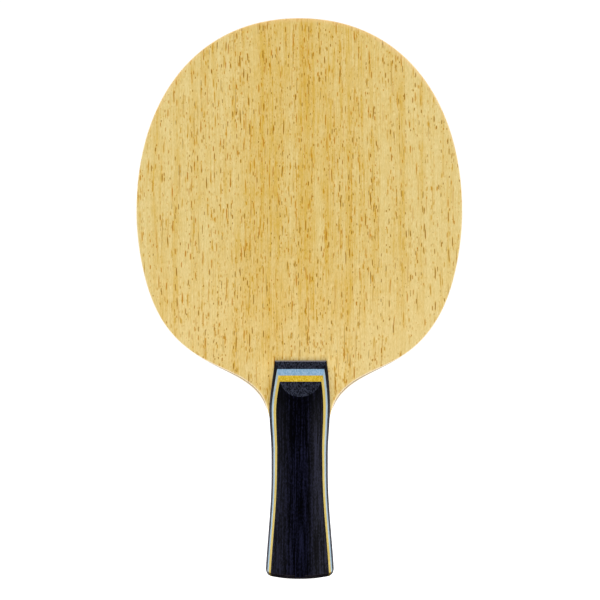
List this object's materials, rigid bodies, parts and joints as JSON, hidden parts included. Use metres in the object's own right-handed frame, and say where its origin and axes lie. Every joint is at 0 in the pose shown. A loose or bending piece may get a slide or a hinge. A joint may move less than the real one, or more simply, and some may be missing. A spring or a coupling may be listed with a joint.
{
  "type": "table tennis blade",
  "caption": "Bare composite table tennis blade with an oval head and a flared handle of striped wood veneers.",
  "frame": {"origin": "middle of the butt of the handle, at its lowest point, on the middle plane of the blade", "axes": "+Z from the butt to the tip of the head, +X across the head to the right seen from the front, -Y out of the front face"},
  "size_m": [0.15, 0.0232, 0.258],
  "materials": {
    "core_wood": "matte",
    "inner_wood": "matte",
    "fibre": "satin",
    "face_wood": "matte",
    "dark_wood": "satin",
    "blue_veneer": "satin",
    "yellow_veneer": "satin"
  },
  "bodies": {
    "root": {"core_ply": "core_wood", "front_inner_ply": "inner_wood", "back_inner_ply": "inner_wood", "front_fibre_layer": "fibre", "back_fibre_layer": "fibre", "front_face_ply": "face_wood", "back_face_ply": "face_wood", "front_handle_base": "dark_wood", "back_handle_base": "dark_wood", "front_blue_veneer": "blue_veneer", "back_blue_veneer": "blue_veneer", "front_yellow_veneer": "yellow_veneer", "back_yellow_veneer": "yellow_veneer", "front_handle_crown": "dark_wood", "back_handle_crown": "dark_wood"}
  },
  "joints": []
}
